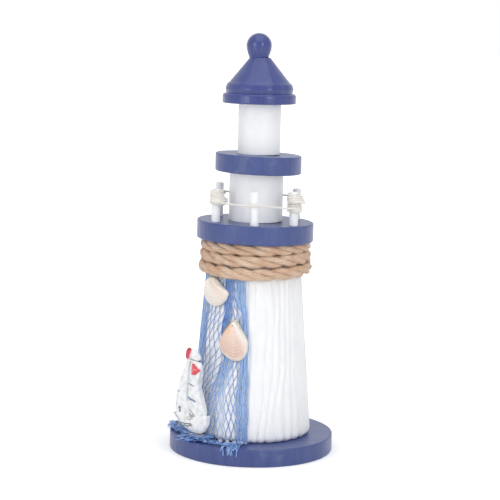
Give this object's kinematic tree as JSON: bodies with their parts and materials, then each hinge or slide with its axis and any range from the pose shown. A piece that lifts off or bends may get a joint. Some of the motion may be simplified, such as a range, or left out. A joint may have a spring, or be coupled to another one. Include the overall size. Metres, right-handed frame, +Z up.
{
  "type": "wooden lighthouse ornament",
  "caption": "Painted wooden lighthouse ornament: tapered tower on a round base, railed gallery, lantern drums, turned roof, rope wrap, draped net, shells and a small boat.",
  "frame": {"origin": "centre of the round base's underside, on the surface that the ornament stands on", "axes": "+Z up along the tower's centre line, -Y towards the pictured front, +X to the right of it"},
  "size_m": [0.1, 0.1, 0.2524],
  "materials": {
    "navy_paint": "satin navy paint over turned wood",
    "white_paint": "matt white paint over wood with a raised grain",
    "bare_wood": "bare turned dowel",
    "jute_rope": "three-strand natural fibre rope",
    "cotton_string": "twisted cotton string",
    "net_nylon": "knotted nylon fishing net",
    "cream_shell": "natural cream sea shell",
    "peach_shell": "natural ribbed peach sea shell",
    "cast_resin": "cast resin, hand painted",
    "hot_glue": "clear hot-melt glue",
    "zinc_screw": "zinc plated steel"
  },
  "bodies": {
    "root": {"base_disc": "navy_paint", "base_screw": "zinc_screw", "boat": "cast_resin", "boat_glue": "hot_glue", "finial_ball": "navy_paint", "fishing_net": "net_nylon", "gallery_disc": "navy_paint", "lantern_dowel": "bare_wood", "lower_lantern": "white_paint", "net_glue": "hot_glue", "rail_cord": "cotton_string", "rail_cord_knot": "cotton_string", "rail_post_back": "white_paint", "rail_post_back_left": "white_paint", "rail_post_back_right": "white_paint", "rail_post_front": "white_paint", "rail_post_front_left": "white_paint", "rail_post_front_right": "white_paint", "roof_cap": "navy_paint", "roof_dowel": "bare_wood", "rope_wrap": "jute_rope", "shell_lower": "peach_shell", "shell_lower_glue": "hot_glue", "shell_upper": "cream_shell", "shell_upper_glue": "hot_glue", "tower_body": "white_paint", "tower_dowel": "bare_wood", "upper_disc": "navy_paint", "upper_lantern": "white_paint"}
  },
  "joints": []
}
